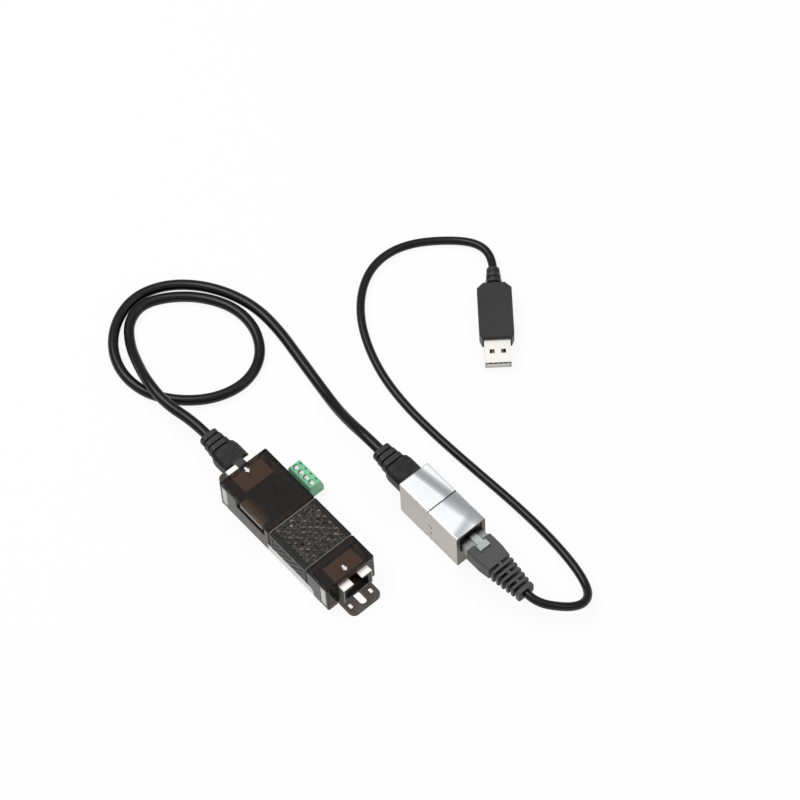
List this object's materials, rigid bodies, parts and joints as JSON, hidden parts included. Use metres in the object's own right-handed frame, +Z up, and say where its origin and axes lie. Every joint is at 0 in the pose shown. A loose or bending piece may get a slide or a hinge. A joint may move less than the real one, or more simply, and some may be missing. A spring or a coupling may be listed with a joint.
{
  "type": "rack temperature and humidity sensor",
  "caption": "Smoked plastic sensor pod with fixing ears, open sensor socket and green terminal plug, on a patch lead to a metal coupler and a USB adapter lead.",
  "frame": {"origin": "centre of the pod's underside, on the surface that it lies on", "axes": "+X along the pod towards its open sensor socket, +Y towards its terminal plug, +Z up"},
  "size_m": [0.2643, 0.1777, 0.0232],
  "materials": {
    "smoked_plastic": "glossy smoked moulding",
    "tinned_steel": "satin tinned sheet",
    "coupler_steel": "bright tinned sheet",
    "black_plastic": "matt",
    "green_plastic": "satin",
    "grey_plastic": "satin",
    "board_green": "satin lacquer",
    "capacitor_can": "satin",
    "gold_contact": "gold flash",
    "clamp_steel": "bright",
    "clear_plastic": "clear moulding",
    "black_rubber": "satin",
    "grey_rubber": "satin",
    "usb_plastic": "satin",
    "white_plastic": "satin"
  },
  "bodies": {
    "root": {"device_cover": "smoked_plastic", "vent_cover": "smoked_plastic", "sensor_cover": "smoked_plastic", "base_plate": "smoked_plastic", "device_socket_shield": "tinned_steel", "sensor_socket_shield": "tinned_steel", "usb_shell": "tinned_steel", "coupler_device_shell": "coupler_steel", "coupler_adapter_shell": "coupler_steel", "patch_pod_plug": "black_plastic", "patch_coupler_plug": "black_plastic", "device_socket_insert": "black_plastic", "sensor_socket_insert": "black_plastic", "coupler_insert": "black_plastic", "controller_chip": "black_plastic", "transceiver_chip": "black_plastic", "voltage_regulator": "black_plastic", "sensing_chip": "black_plastic", "terminal_header": "green_plastic", "terminal_plug": "green_plastic", "switch_bank": "grey_plastic", "circuit_board": "board_green", "capacitors": "capacitor_can", "device_socket_contacts": "gold_contact", "sensor_socket_contacts": "gold_contact", "patch_pod_contacts": "gold_contact", "patch_coupler_contacts": "gold_contact", "adapter_contacts": "gold_contact", "coupler_contacts": "gold_contact", "usb_contacts": "gold_contact", "terminal_screws": "clamp_steel", "terminal_clamps": "clamp_steel", "terminal_pins": "clamp_steel", "adapter_plug": "clear_plastic", "patch_pod_boot": "black_rubber", "patch_coupler_boot": "black_rubber", "patch_cord": "black_rubber", "adapter_cord": "black_rubber", "adapter_boot": "grey_rubber", "usb_overmould": "usb_plastic", "usb_tongue": "white_plastic"}
  },
  "joints": []
}
